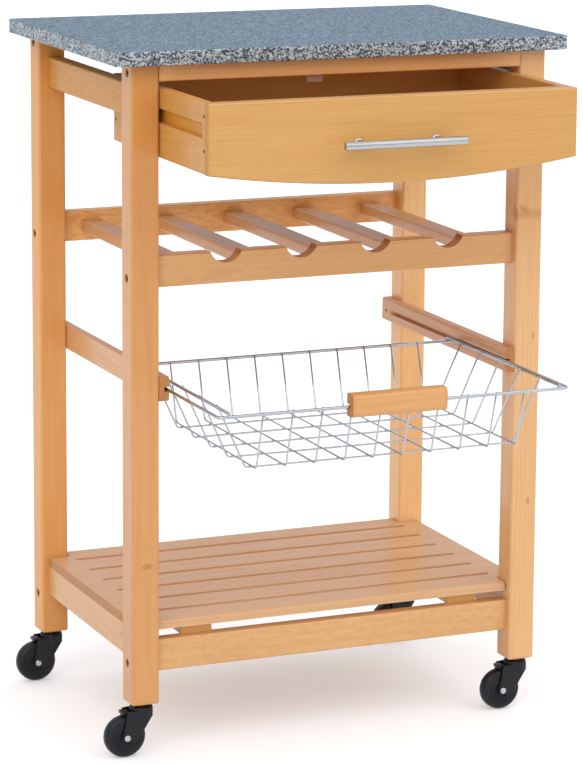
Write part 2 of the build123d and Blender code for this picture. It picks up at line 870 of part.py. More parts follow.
# Housing with a short skirt over the stem's head, and two plates that carry the axle and the lever
def caster_fork():
    shoulder = housing_top - housing_cone
    cone = Cone(housing_radius, housing_radius - housing_cone_inset, housing_cone)
    low = housing_bottom - housing_skirt
    body = rod((0, 0, low), (0, 0, shoulder), housing_radius) + Pos(0, 0, shoulder + housing_cone / 2) * cone
    body -= rod((0, 0, low - 1), (0, 0, housing_bottom), housing_radius - housing_wall)
    edge = sqrt(housing_radius ** 2 - wheel_y_in ** 2) - fork_edge_inside_wall
    outline = make_hull(
        [
            *outline_round(-trail, wheel_radius, fork_end_radius),
            *outline_round(-trail + fork_heel_from_wheel, wheel_radius + fork_heel_rise, fork_heel_radius),
            *outline_round(lever_x, lever_z, lever_pin_radius + lever_plate_margin),
            *Polyline((edge, low), (edge, shoulder), (0, shoulder)).edges(),
        ]
    )
    upright = Plane(origin=(0, 0, 0), x_dir=(1, 0, 0), z_dir=(0, -1, 0))
    plates = extrude(upright * outline, fork_y_out, both=True)
    plates -= extrude(upright * outline, wheel_y_in, both=True)
    body += plates
    wheel_room = wheel_radius + fork_over_wheel
    body -= rod((-trail, -wheel_y_in, wheel_radius), (-trail, wheel_y_in, wheel_radius), wheel_room)
    head_top = housing_bottom + stem_head_height + stem_head_clearance
    body -= rod((0, 0, low), (0, 0, housing_top + 1), stem_radius + stem_fit)
    body -= rod((0, 0, low), (0, 0, head_top), stem_head_radius + stem_head_clearance)
    past = fork_y_out + 1
    body -= rod((-trail, -past, wheel_radius), (-trail, past, wheel_radius), axle_radius + axle_fit)
    body -= rod((lever_x, -past, lever_z), (lever_x, past, lever_z), lever_pin_radius + lever_pin_fit)
    return body


# Axle rivet with a domed head on each side
def caster_axle():
    face = fork_y_out
    pin = rod((-trail, -face, wheel_radius), (-trail, face, wheel_radius), axle_radius)
    dome_radius = (rivet_head_radius ** 2 + rivet_head_height ** 2) / (2 * rivet_head_height)
    for side in (-1, 1):
        ball = Pos(-trail, side * (face + rivet_head_height - dome_radius), wheel_radius) * Sphere(dome_radius)
        over = rivet_head_radius + 1
        outside = block(
            -trail - over, -trail + over, side * face, side * (face + over), wheel_radius - over, wheel_radius + over
        )
        pin += ball & outside
    return pin


def caster_wheel():
    half = wheel_width / 2
    r = wheel_shoulder
    disc = Cylinder(wheel_radius, wheel_width)
    disc = fillet(disc.edges().filter_by(GeomType.CIRCLE), r)
    ring = Cylinder(wheel_recess_radius, wheel_recess_depth * 2) - Cylinder(hub_radius, wheel_recess_depth * 2)
    for side in (-1, 1):
        disc -= Pos(0, 0, side * half) * ring
    disc -= Cylinder(axle_radius + wheel_bore_fit, wheel_width + 2)
    return Pos(-trail, 0, wheel_radius) * Rot(90, 0, 0) * disc


# Foot lever on its cross pin, pressed down: the pad below it is just off the tread
def brake_lever():
    half = lever_width / 2
    low = -lever_thick / 2
    boss = rod((0, -half, 0), (0, half, 0), lever_thick / 2)
    pin_half = wheel_y_in + lever_pin_length
    pin = rod((0, -pin_half, 0), (0, pin_half, 0), lever_pin_radius)
    pedal = block(-lever_length, 0, -half, half, low, -low)
    tip = pedal.edges().group_by(Axis.X)[0]
    pedal = fillet(tip, lever_round)
    pad_low = brake_pad_clearance - lever_pivot_rise
    pad_x = -brake_pad_from_pivot
    pad_half = half - brake_pad_inset
    pad = block(pad_x - brake_pad_width / 2, pad_x + brake_pad_width / 2, -pad_half, pad_half, pad_low, 0)
    return Pos(lever_x, 0, lever_z) * (boss + pin + pedal + pad)


def group(shapes):
    return Compound(children=[solid for shape in shapes for solid in shape.solids()])


def all_nodes():
    nodes = {"worktop": worktop()}
    for end, sy in ends:
        for side, sx in sides:
            nodes[f"leg_{end}_{side}"] = leg(sx, sy)
    for end, sy in ends:
        nodes[f"top_rail_{end}"] = top_rail(sy)
        nodes[f"lower_rail_{end}"] = lower_rail(sy)
    nodes["wine_rail_front"] = wine_rail_front()
    nodes["wine_rail_back"] = wine_rail_back()
    for number, x in enumerate(slat_middles(), 1):
        nodes[f"wine_slat_{number}"] = wine_slat(x)
    for side, sx in sides:
        nodes[f"upper_side_rail_{side}"] = side_rail(sx, upper_side_rail_inset, upper_side_rail_top)
        nodes[f"lower_side_rail_{side}"] = side_rail(sx, lower_side_rail_inset, shelf_underside)
        nodes[f"drawer_runner_{side}"] = drawer_strip(sx)
        nodes[f"basket_runner_{side}"] = basket_runner(sx)
        nodes[f"drawer_side_{side}"] = drawer_side(sx)
    nodes["shelf_board"] = shelf_board()
    nodes["shelf_battens"] = group([shelf_batten(sx) for _, sx in sides])
    nodes["drawer_stop"] = drawer_stop()
    nodes["frame_bolts"] = group(frame_bolts())
    nodes["rail_dowels"] = group(rail_dowels())
    nodes["wood_screws"] = group(wood_screws())
    nodes["drawer_front"] = drawer_front()
    nodes["drawer_back"] = drawer_back()
    nodes["drawer_bottom"] = drawer_bottom()
    nodes["drawer_handle_bar"] = drawer_handle_bar()
    nodes["drawer_handle_posts"] = group(drawer_handle_posts())
    nodes["drawer_screws"] = group(drawer_screws())
    nodes["basket_frame_wire"] = basket_frame_wire()
    nodes["basket_side_bars"] = group(basket_side_bars())
    nodes["basket_long_wires"] = group(basket_long_wires())
    nodes["basket_cross_wires"] = group(basket_cross_wires())
    nodes["basket_grip"] = basket_grip()
    places = [(end, side, caster_place(sx, sy)) for end, sy in ends for side, sx in sides]
    nodes["caster_stems"] = group([place * caster_stem() for _, _, place in places])
    for end, side, place in places:
        nodes[f"caster_fork_{end}_{side}"] = place * caster_fork()
        nodes[f"caster_wheel_{end}_{side}"] = place * caster_wheel()
        nodes[f"caster_axle_{end}_{side}"] = place * caster_axle()
        nodes[f"brake_lever_{end}_{side}"] = place * brake_lever()
    return nodes


os.makedirs("parts", exist_ok=True)
for name, shape in all_nodes().items():
    export_step(shape, f"parts/{name}.step")
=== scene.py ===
import bpy
import math
from mathutils import Matrix, Vector


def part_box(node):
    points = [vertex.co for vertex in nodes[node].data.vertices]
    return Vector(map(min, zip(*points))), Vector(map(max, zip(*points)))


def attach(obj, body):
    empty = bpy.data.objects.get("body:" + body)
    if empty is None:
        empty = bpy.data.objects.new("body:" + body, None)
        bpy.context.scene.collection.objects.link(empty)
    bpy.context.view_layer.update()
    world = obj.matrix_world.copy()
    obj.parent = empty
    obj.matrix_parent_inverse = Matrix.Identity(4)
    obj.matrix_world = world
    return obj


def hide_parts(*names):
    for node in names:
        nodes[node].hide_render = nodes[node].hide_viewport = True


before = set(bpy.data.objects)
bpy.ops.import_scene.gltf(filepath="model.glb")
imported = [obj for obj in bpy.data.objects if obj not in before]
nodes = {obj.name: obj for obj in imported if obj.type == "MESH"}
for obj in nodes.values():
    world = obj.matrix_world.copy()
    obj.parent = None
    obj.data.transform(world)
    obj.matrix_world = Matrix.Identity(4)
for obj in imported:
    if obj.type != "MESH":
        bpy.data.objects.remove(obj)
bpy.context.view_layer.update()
print("kitchen trolley: loaded", len(nodes), "nodes")


# a shader value: sums and products with it add Math nodes
class Val:
    def __init__(self, shader, socket):
        self.shader = shader
        self.socket = socket

    def __add__(self, other):
        return self.shader.maths("ADD", self, other)

    def __sub__(self, other):
        return self.shader.maths("SUBTRACT", self, other)

    def __rsub__(self, other):
        return self.shader.maths("SUBTRACT", other, self)

    def __mul__(self, other):
        return self.shader.maths("MULTIPLY", self, other)

    def __truediv__(self, other):
        return self.shader.maths("DIVIDE", self, other)

    def __pow__(self, other):
        return self.shader.maths("POWER", self, other)

    __radd__ = __add__
    __rmul__ = __mul__


# one node tree, with short ways to add nodes to it
class Shader:
    def __init__(self, tree):
        self.tree = tree
        tree.nodes.clear()

    # any node: its settings first, then the values or links of its sockets
    def node(self, kind, settings=None, sockets=(), out=0):
        made = self.tree.nodes.new(kind)
        for key, value in (settings or {}).items():
            if key == "stops":
                self.setStops(made.color_ramp, value)
            else:
                setattr(made, key, value)
        pairs = sockets.items() if isinstance(sockets, dict) else enumerate(sockets)
        for key, value in pairs:
            self.feed(made.inputs[key], value)
        return Val(self, made.outputs[out]) if made.outputs else made

    def feed(self, socket, value):
        if isinstance(value, Val):
            self.tree.links.new(value.socket, socket)
        else:
            socket.default_value = value

    def setStops(self, ramp, stops):
        while len(ramp.elements) < len(stops):
            ramp.elements.new(0.5)
        for element, (place, colour) in zip(ramp.elements, stops):
            element.position = place
            element.color = colour

    def maths(self, operation, *values):
        return self.node("ShaderNodeMath", {"operation": operation}, values)

    # all outputs of the node that a value comes from
    def parts(self, value):
        return [Val(self, output) for output in value.socket.node.outputs]

    def rise(self, value, low, high):      # smooth from 0 below low to 1 above high
        settings = {"interpolation_type": "SMOOTHSTEP"}
        return self.node("ShaderNodeMapRange", settings, [value, low, high, 0.0, 1.0])

    def blend(self, share, first, second, how="MIX"):
        settings = {"data_type": "RGBA", "blend_type": how}
        return self.node("ShaderNodeMix", settings, {0: share, 6: first, 7: second}, out=2)

    def noise(self, place, scale, detail=2.0, roughness=0.5):
        sockets = {"Vector": place, "Scale": scale, "Detail": detail, "Roughness": roughness}
        return self.node("ShaderNodeTexNoise", {}, sockets)

    def point(self, x, y, z):
        return self.node("ShaderNodeCombineXYZ", {}, [x, y, z])

    def split(self, vector):
        return self.parts(self.node("ShaderNodeSeparateXYZ", {}, [vector]))


# a material: its Principled shader takes what is in sockets
class Finish(Shader):
    def __init__(self, name):
        self.material = bpy.data.materials.new(name)
        self.material.use_nodes = True
        super().__init__(self.material.node_tree)
        self.skin = self.node("ShaderNodeBsdfPrincipled")
        self.node("ShaderNodeOutputMaterial", {}, [self.skin])
        self.coords = self.node("ShaderNodeTexCoord", {}, out=3)
        self.facing = Val(self, self.coords.socket.node.outputs["Normal"])

    def set(self, **sockets):
        for key, value in sockets.items():
            self.feed(self.skin.socket.node.inputs[key.replace("_", " ")], value)

    def bump(self, height, distance, strength=1.0):
        sockets = {"Strength": strength, "Distance": distance, "Height": height}
        return self.node("ShaderNodeBump", {}, sockets)


def colour(red, green, blue):      # screen colours, 0 to 255, as the linear ones that sockets take
    levels = [c / 255 for c in (red, green, blue)]
    return tuple(c / 12.92 if c < 0.04045 else ((c + 0.055) / 1.055) ** 2.4 for c in levels) + (1.0,)


pineLook = {
    # tones, as shares of the board's own colour
    "light": (1.06, 1.08, 1.12),         # early wood
    "dark": (0.84, 0.74, 0.58),          # late wood, pores and fibres
    "deep": (0.93, 0.85, 0.70),          # where the stain went deeper
    "knot": (0.50, 0.30, 0.16),
    "endGrain": (0.60, 0.42, 0.28),
    "wornSheen": (1.12, 1.20, 1.40),          # thin, rubbed varnish on the very edges, and a painted highlight along their rounding
    "farEndTone": (0.98, 0.88, 0.62),          # a browner tone, growing towards the board's far end along the grain
    "farEndShow": 0.0,
    "amber": (1.12, 0.98, 0.36),         # thick varnish in a groove
    "ringGap": 0.0030,
    "heartSway": (0.020, 0.014),         # how far the log's heart strays, to the side and in height
    "ringShow": 0.34,
    "fibreShow": 0.30,
    "poreShow": 0.22,
    "blotchShow": 0.50,
    "curlShow": 0.0,                     # wavy figure across the grain
    "edgeShow": 0.30,
    "poolShadeShow": 0.45,                    # varnish gathered at the board's ends, and painted shade where they meet the next board
    "seamShow": 0.80,
    "knotShow": 0.62,
    "depth": 0.00012,                    # of the bumps
    "bare": 0.34,                        # roughness of the wood
    "gloss": 0.30,                       # base specular level
    "varnish": 0.42,
    "varnishRoughness": 0.17,
}


# how fast each figure varies along and across the grain, per metre, then its noise's detail and roughness
pineFigures = {
    "sway": (1.6, 7.0, 1.0, 0.5),        # slow bends of the rings
    "wander": (7.0, 36.0, 2.0, 0.5),     # small bends of the rings
    "strength": (4.0, 90.0, 1.0, 0.5),   # where late wood shows
    "fibre": (8.0, 520.0, 2.0, 0.6),
    "pores": (130.0, 1300.0, 2.0, 0.6),
    "blotch": (3.0, 16.0, 3.0, 0.55),
    "curl": (70.0, 210.0, 3.0, 0.65),
}
# between which values each tone or figure comes in
pineFades = {
    "late": (0.25, 0.88),            # late wood, as shares of a ring
    "lateEnd": (0.90, 1.0),
    "strength": (0.30, 0.70),
    "blotch": (0.40, 0.72),
    "farEndTone": (-0.10, 0.36),           # metres along the board
    "fibre": (0.38, 0.72),
    "pores": (0.56, 0.68),
    "curl": (0.42, 0.66),
    "edge": (0.0004, 0.0022),        # metres from the board's edges
    "wornSheenPatch": (0.30, 0.62),
    "tip": (0.0004, 0.0050),         # metres from the board's ends
    "endFace": (0.72, 0.92),         # how squarely a face looks along the grain, and upwards
    "upFace": (0.05, 0.30),
}
knotCut = {
    "long": 0.55,            # a knot's length along the grain is its size over this
    "swirl": 3.2,            # by how many rings it bends them
    "reach": (0.6, 3.6),     # where the bending fades, in knot sizes
    "core": (0.55, 1.25),    # where the dark core fades
    "circles": 9.0,          # radians of its fine rings for each knot size
}


# one board's wood, with its own directions: along the grain, to the side and to its height
class Board(Finish):
    def __init__(self, name, tint, grain, seed, look):
        super().__init__("pine_" + name)
        self.base = colour(*tint)
        self.look = look
        self.low, self.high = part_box(name)
        self.middle = (self.low + self.high) / 2
        self.order = {"X": (0, 1, 2), "Y": (1, 0, 2), "Z": (2, 0, 1)}[grain]
        self.places = self.split(self.coords)
        self.along, self.side, self.height = [self.places[i] - self.middle[i] for i in self.order]
        self.shifted = self.along + seed * 0.731        # so that no two boards are alike
        self.paint = self.tone("light")

    def tone(self, key):
        return tuple(c * part for c, part in zip(self.base, self.look[key])) + (1.0,)

    # lays one of the board's tones over its paint
    def lay(self, amount, key):
        self.paint = self.blend(amount, self.paint, self.tone(key))

    def fade(self, value, kind):
        return self.rise(value, *pineFades[kind])

    # noise drawn out along the grain
    def figure(self, kind):
        along, across, detail, roughness = pineFigures[kind]
        place = self.point(self.shifted * along, self.side * across, self.height * across)
        return self.noise(place, 1.0, detail, roughness)

    # a knot that shows on the face square to axis: how it bends the rings, and its core
    def knot(self, wander, place, axis, size, turn):
        spot = [place[i] - self.middle[i] for i in self.order]
        ahead = self.along - spot[0]
        onSide = "XYZ".index(axis) == self.order[1]
        beside = (self.height - spot[2] if onSide else self.side - spot[1]) + wander * 0.003
        cosine, sine = math.cos(turn), math.sin(turn)
        longWay = ahead * cosine + beside * sine
        shortWay = beside * cosine - ahead * sine
        away = ((longWay * knotCut["long"]) ** 2.0 + shortWay ** 2.0) ** 0.5
        swirl = 1.0 - self.rise(away, *[size * part for part in knotCut["reach"]])
        core = 1.0 - self.rise(away + wander * 0.002, *[size * part for part in knotCut["core"]])
        circles = self.maths("SINE", away * (knotCut["circles"] / size))
        return swirl * knotCut["swirl"], core * (0.74 + circles * 0.26)

    # how far a place lies from the board's nearest edge, and from its nearer end
    def edges(self):
        halves = [(self.high[i] - self.low[i]) / 2 for i in self.order]
        ways = (self.along, self.side, self.height)
        reaches = [half - self.maths("ABSOLUTE", way) for half, way in zip(halves, ways)]
        nearer = self.maths("MINIMUM", *reaches[1:])
        further = self.maths("MAXIMUM", *reaches[1:])
        second = self.maths("MINIMUM", further, reaches[0])
        return self.maths("MAXIMUM", nearer, second), reaches[0]

    # where end grain shows: on the faces across the grain; and on upward ones below a height, the scoops, as
    # cut grain with painted shade in the hollow
    def cuts(self, cutBelow):
        faces = self.split(self.facing)
        ends = self.fade(self.maths("ABSOLUTE", faces[self.order[0]]), "endFace")
        if cutBelow is None:
            return ends
        # below cutBelow, upward faces take the end-grain tone: cut grain, and painted shade in the scoops
        below = 1.0 - self.rise(self.places[2], cutBelow - 0.0004, cutBelow)
        return ends + self.fade(faces[2], "upFace") * below


# varnished pine for one board: the log's heart lies at pith, off the board's middle, square to the grain
def pine(name, tint, grain="X", pith=(0.03, 0.25), seed=0.0, knots=(), seams=(), cutBelow=None, **look):
    look = {**pineLook, **look}
    wood = Board(name, tint, grain, seed, look)
    sway = wood.figure("sway") - 0.5
    wander = wood.figure("wander") - 0.5
    toSide = wood.side - pith[0] + sway * look["heartSway"][0]
    toHeight = wood.height - pith[1] + sway * look["heartSway"][1]
    rings = (toSide ** 2.0 + toHeight ** 2.0) ** 0.5 / look["ringGap"] + wander * 0.9
    knotCore = None
    for knot in knots:
        swirl, core = wood.knot(wander, *knot)
        rings = rings + swirl
        knotCore = core if knotCore is None else wood.maths("MAXIMUM", knotCore, core)
    phase = wood.maths("FRACT", rings)
    late = wood.fade(phase, "late") * (1.0 - wood.fade(phase, "lateEnd"))
    late = late * wood.fade(wood.figure("strength"), "strength")
    fibre = wood.figure("fibre")
    blotch = wood.figure("blotch")
    wood.lay(late * look["ringShow"], "dark")
    wood.lay(wood.fade(blotch, "blotch") * look["blotchShow"], "deep")
    # browner towards the board's far end along the grain
    if look["farEndShow"]:
        wood.lay(wood.fade(wood.along + wander * 0.10, "farEndTone") * look["farEndShow"], "farEndTone")
    wood.lay(wood.fade(fibre, "fibre") * look["fibreShow"], "dark")
    wood.lay(wood.fade(wood.figure("pores"), "pores") * look["poreShow"], "dark")
    if look["curlShow"]:
        wood.lay(wood.fade(wood.figure("curl"), "curl") * look["curlShow"], "dark")
    edge, tip = wood.edges()
    # pale edges in patches: thin rubbed varnish, and a painted highlight along the rounded edges
    wornSheen = (1.0 - wood.fade(edge, "edge")) * wood.fade(blotch, "wornSheenPatch")
    wood.lay(wornSheen * look["edgeShow"], "wornSheen")
    # darker towards the board's ends: gathered varnish, and painted shade at the joints
    poolShade = (1.0 - wood.fade(tip, "tip")) * (0.6 + fibre * 0.6)
    wood.lay(poolShade * look["poolShadeShow"], "dark")
    cuts = wood.cuts(cutBelow)
    wood.lay(cuts * (0.50 + late * 0.35), "endGrain")
    bumps = late * 0.35 + fibre * 0.65
    for seamAxis, seamPlace, seamWidth, seamTone in seams:
        gap = wood.maths("ABSOLUTE", wood.places["XYZ".index(seamAxis)] - seamPlace)
        seam = 1.0 - wood.rise(gap, seamWidth * 0.4, seamWidth)
        wood.lay(seam * look["seamShow"], seamTone)
        bumps = bumps - seam
    if knotCore is not None:
        wood.lay(knotCore * look["knotShow"], "knot")
        bumps = bumps - knotCore * 0.8
    wood.set(
        Base_Color=wood.paint,
        Roughness=look["bare"] + fibre * 0.20 + cuts * 0.2 - 0.04,
        Specular_IOR_Level=look["gloss"],
        Normal=wood.bump(bumps, look["depth"], 0.5),
        Coat_Weight=look["varnish"] * (1.0 - cuts * 0.8),
        Coat_Roughness=look["varnishRoughness"],
    )
    return wood.material


def dress(name, material):
    slots = nodes[name].data.materials
    slots.clear()
    slots.append(material)


# dresses each node whose name holds one of the words
def dressAll(material, *words):
    for name in nodes:
        if any(word in name for word in words):
            dress(name, material)


# each board's colour and cut, with the back legs' and the back wine rail's tints lifted as painted light
# against the shade they stand in; a knot is (place, axis of its face, size, turn), a seam (axis, place, width,
# tone)
frontSeam = ("Y", -0.3197, 0.0006, "knot")        # between the drawer's front panel and its sides
boards = {
    "leg_front_left": dict(tint=(211, 150, 90), grain="Z", farEndShow=0.8, pith=(0.05, 0.19), seed=1,
                           knots=[((-0.2444, -0.18, 0.2322), "Y", 0.0034, 1.45)]),
    "leg_front_right": dict(tint=(225, 175, 120), grain="Z", pith=(-0.09, 0.12), seed=2, ringShow=0.55,
                            blotchShow=0.7,
                            knots=[((0.2397, -0.18, 0.6249), "Y", 0.0054, -0.85),
                                   ((0.2539, -0.18, 0.4709), "Y", 0.0026, 0.1),
                                   ((0.2502, -0.18, 0.2652), "Y", 0.0022, 0.0),
                                   ((0.229, -0.1746, 0.6217), "X", 0.0060, 0.1)]),
    # tint lifted: painted light against the shade under the frame
    "leg_back_left": dict(tint=(224, 160, 94), grain="Z", pith=(0.18, 0.05), seed=3, varnish=0.22, gloss=0.2,
                          farEndShow=0.7),
    # tint lifted well above the front legs': painted light against the shade it stands in
    "leg_back_right": dict(tint=(246, 194, 130), grain="Z", pith=(0.09, -0.12), seed=4, ringShow=0.55,
                           blotchShow=0.7),
    "top_rail_front": dict(tint=(232, 174, 110), grain="X", seed=5),
    "top_rail_back": dict(tint=(208, 150, 90), grain="X", seed=6),
    "lower_rail_front": dict(tint=(218, 166, 110), grain="X", pith=(0.25, 0.06), seed=7, curlShow=0.4,
                             poreShow=0.4),
    "lower_rail_back": dict(tint=(212, 158, 100), grain="X", pith=(-0.2, 0.05), seed=8),
    # its scoops, below cutBelow, take the end-grain tone as cut grain and painted shade
    "wine_rail_front": dict(tint=(213, 160, 102), grain="X", pith=(0.26, 0.03), seed=9, curlShow=0.22,
                            poreShow=0.42, cutBelow=0.5978),
    # tint lifted: painted light against the shade under the drawer
    "wine_rail_back": dict(tint=(240, 180, 110), grain="X", pith=(0.12, 0.05), seed=10, curlShow=0.8,
                           poreShow=0.6,
                           knots=[((0.1733, 0.162, 0.5860), "Y", 0.0045, 0.9)]),
    "wine_slat_1": dict(tint=(206, 150, 98), grain="Y", pith=(0.03, 0.16), seed=11, curlShow=0.25),
    "wine_slat_2": dict(tint=(208, 152, 100), grain="Y", pith=(-0.15, 0.04), seed=12, curlShow=0.3),
    "wine_slat_3": dict(tint=(204, 148, 94), grain="Y", pith=(0.15, 0.05), seed=13, curlShow=0.3),
    "wine_slat_4": dict(tint=(208, 150, 98), grain="Y", pith=(0.02, -0.16), seed=14, curlShow=0.3),
    "wine_slat_5": dict(tint=(210, 152, 100), grain="Y", pith=(-0.14, 0.05), seed=15, curlShow=0.3),
    "upper_side_rail_left": dict(tint=(208, 146, 68), grain="Y", pith=(-0.03, 0.15), seed=16, curlShow=0.5,
                                 varnish=0.14, gloss=0.2),
    "upper_side_rail_right": dict(tint=(204, 146, 88), grain="Y", pith=(0.05, 0.15), seed=17, curlShow=0.3),
    "lower_side_rail_left": dict(tint=(214, 160, 106), grain="Y", pith=(-0.04, 0.13), seed=18,
                                 knots=[((-0.254, -0.1181, 0.1346), "X", 0.0022, 0.0)]),
    "lower_side_rail_right": dict(tint=(212, 158, 102), grain="Y", pith=(0.05, -0.14), seed=19),
    "drawer_runner_left": dict(tint=(204, 146, 84), grain="Y", seed=20),
    "drawer_runner_right": dict(tint=(204, 146, 84), grain="Y", seed=21),
    "basket_runner_left": dict(tint=(212, 156, 104), grain="Y", pith=(-0.15, 0.05), seed=22),
    "basket_runner_right": dict(tint=(210, 152, 102), grain="Y", pith=(0.15, 0.05), seed=23, ringShow=0.5),
    "shelf_board": dict(tint=(212, 164, 118), grain="X", pith=(0.02, 0.26), seed=24),
    "shelf_battens": dict(tint=(230, 182, 116), grain="Y", seed=25, endGrain=(1.0, 0.96, 0.80)),
    "drawer_front": dict(tint=(207, 154, 85), grain="X", pith=(0.03, 0.30), seed=27, ringShow=0.26,
                         fibreShow=0.34, blotchShow=0.35, poolShadeShow=0.25, edgeShow=0.45,
                         endGrain=(0.82, 0.68, 0.48), seams=[frontSeam]),
    "drawer_side_left": dict(tint=(205, 148, 76), grain="Y", pith=(0.16, 0.05), seed=28, curlShow=0.2,
                             varnish=0.22, gloss=0.22, seams=[frontSeam, ("X", -0.2212, 0.0020, "amber")]),
    "drawer_side_right": dict(tint=(200, 142, 78), grain="Y", pith=(-0.16, 0.05), seed=29, seams=[frontSeam]),
    "basket_grip": dict(tint=(212, 156, 94), grain="X", pith=(0.25, 0.04), seed=30, ringShow=0.2),
    "rail_dowels": dict(tint=(212, 158, 102), grain="Y", seed=31),
}
# the drawer's inside has thinner varnish
inside = dict(varnish=0.25, gloss=0.25, poolShadeShow=0.2, edgeShow=0.1)
boards["drawer_back"] = dict(tint=(220, 166, 98), grain="X", seed=33, **inside)
boards["drawer_bottom"] = dict(tint=(216, 160, 94), grain="X", pith=(0.03, 0.12), seed=34, **inside)
for name, cut in boards.items():
    dress(name, pine(name, **cut))
print("pine boards:", len(boards))


graniteLook = {
    "pale": colour(194, 202, 205),
    "grey": colour(145, 154, 160),
    "slate": colour(100, 109, 117),
    "black": colour(50, 56, 63),
    "coarse": 520.0,         # grains a metre
    "fine": 1150.0,
    "ragged": 700.0,         # the grains' ragged outlines, and how far they stray
    "stray": 0.0016,
    "drift": 60.0,           # larger pale and dark patches
    "polishSkyTint": (0.38, 0.58, 0.76, 1.0),
    "depth": 0.0004,
}


# salt and pepper granite: darker on top for its polish, with a painted bluish sky reflection on the top's
# colour; honed and paler round the edge
def granite():
    look = graniteLook
    stone = Finish("granite_slab")
    wobble = stone.parts(stone.noise(stone.coords, look["ragged"]))[1]
    stray = [wobble, (look["stray"],) * 3, stone.coords]
    place = stone.node("ShaderNodeVectorMath", {"operation": "MULTIPLY_ADD"}, stray)
    soft = {"Vector": place, "Scale": look["coarse"], "Smoothness": 0.55}
    coarse = stone.parts(stone.node("ShaderNodeTexVoronoi", {"feature": "SMOOTH_F1"}, soft))[1]
    fine = stone.parts(stone.node("ShaderNodeTexVoronoi", {}, {"Vector": place, "Scale": look["fine"]}))[1]
    grain, *_ = stone.split(coarse)
    fleck, crumb, *_ = stone.split(fine)
    drift = stone.noise(stone.coords, look["drift"], 3.0, 0.6)
    mixed = grain * 0.72 + fleck * 0.28 + (drift - 0.5) * 0.25
    stops = [
        (0.0, look["black"]),
        (0.28, look["black"]),
        (0.38, look["slate"]),
        (0.50, look["grey"]),
        (0.64, look["pale"]),
        (1.0, look["pale"]),
    ]
    skin = stone.node("ShaderNodeValToRGB", {"stops": stops}, [mixed])
    skin = stone.blend(stone.rise(crumb, 0.86, 0.92) * 0.8, skin, look["black"])
    up = stone.rise(stone.split(stone.facing)[2], 0.80, 0.98)
    # the top's colour: darker for its polish, and tinted blue as a painted sky reflection
    polishedSkyTinted = stone.blend(1.0, skin, look["polishSkyTint"], "MULTIPLY")
    stone.set(
        Base_Color=stone.blend(up, skin, polishedSkyTinted),
        Roughness=0.42 - up * (0.22 - fleck * 0.16) + fleck * 0.08,
        Specular_IOR_Level=0.46,
        Normal=stone.bump(fleck * 0.8 + grain * 0.4 + drift * 0.3, look["depth"], 0.8),
    )
    return stone.material


dress("worktop", granite())
print("granite worktop")


metalLook = {
    "cloud": 45.0,           # dull patches a metre
    "wear": 0.12,
    "depth": 0.00004,
}


# streak is how fast the brushing varies along each axis
def metal(name, tint, roughness, streak=(300.0, 300.0, 300.0)):
    steel = Finish(name)
    place = steel.node("ShaderNodeVectorMath", {"operation": "MULTIPLY"}, [steel.coords, streak])
    brushed = steel.noise(place, 1.0, 3.0, 0.6)
    cloud = steel.noise(steel.coords, metalLook["cloud"])
    dull = tuple(c * (1.0 - metalLook["wear"]) for c in tint[:3]) + (1.0,)
    steel.set(
        Base_Color=steel.blend(cloud, tint, dull),
        Metallic=1.0,
        Roughness=roughness + (brushed - 0.5) * roughness * 0.8,
        Normal=steel.bump(brushed, metalLook["depth"], 0.3),
    )
    return steel.material


brass = metal("yellow_zinc", colour(222, 190, 118), 0.3)
chrome = metal("chromed_wire", colour(184, 189, 197), 0.14)
satin = metal("satin_steel", colour(186, 186, 187), 0.26, streak=(60.0, 2600.0, 2600.0))
zinc = metal("zinc_steel", colour(196, 198, 202), 0.30)
bronze = metal("bronzed_steel", colour(150, 100, 62), 0.42)
dressAll(chrome, "basket_frame_wire", "basket_side_bars", "basket_long_wires", "basket_cross_wires")
dressAll(satin, "drawer_handle")
dressAll(bronze, "frame_bolts", "wood_screws", "drawer_screws")
dressAll(brass, "caster_stems")
dressAll(zinc, "caster_axle")


plasticLook = {
    "cloud": 60.0,           # dull patches a metre
    "scuff": (1.7, 0.004),   # their colour: the plastic's own times this, and raised by this
    "gloss": 0.32,
}


def moulded(name, tint, roughness, pebbleScale, depth):
    plastic = Finish(name)
    pebbles = plastic.noise(plastic.coords, pebbleScale, 3.0, 0.6)
    cloud = plastic.noise(plastic.coords, plasticLook["cloud"])
    times, raised = plasticLook["scuff"]
    scuffed = tuple(c * times + raised for c in tint[:3]) + (1.0,)
    plastic.set(
        Base_Color=plastic.blend(cloud * 0.5, tint, scuffed),
        Roughness=roughness + (cloud - 0.5) * 0.2,
        Specular_IOR_Level=plasticLook["gloss"],
        Normal=plastic.bump(pebbles, depth, 0.4),
    )
    return plastic.material


black = moulded("black_plastic", colour(12, 14, 20), 0.30, 1800.0, 0.00006)
tread = moulded("black_tread", colour(14, 16, 21), 0.42, 1400.0, 0.0001)
dressAll(black, "caster_fork", "brake_lever")
dressAll(tread, "caster_wheel")
dress("drawer_stop", moulded("pale_plastic", colour(176, 160, 150), 0.35, 900.0, 0.00004))
print("steel, chrome and plastic")


# modelling by hand: start from a primitive, then shape it in edit mode
def clearPick():
    if bpy.context.mode != "OBJECT":
        bpy.ops.object.mode_set(mode="OBJECT")
    bpy.ops.object.select_all(action="DESELECT")


def applyPlace():
    bpy.ops.object.transform_apply(location=True, rotation=True, scale=True)


# a cylinder lies along Y, unless it is turned otherwise
def addCylinder(radius, depth, place, sides, turn=(math.pi / 2, 0, 0)):
    clearPick()
    bpy.ops.mesh.primitive_cylinder_add(
        vertices=sides, radius=radius, depth=depth, location=place, rotation=turn
    )
    applyPlace()
    return bpy.context.object


def startPick(kind):
    bpy.ops.object.mode_set(mode="EDIT")
    bpy.ops.mesh.select_mode(type=kind)
    bpy.ops.mesh.select_all(action="DESELECT")
    bpy.ops.object.mode_set(mode="OBJECT")


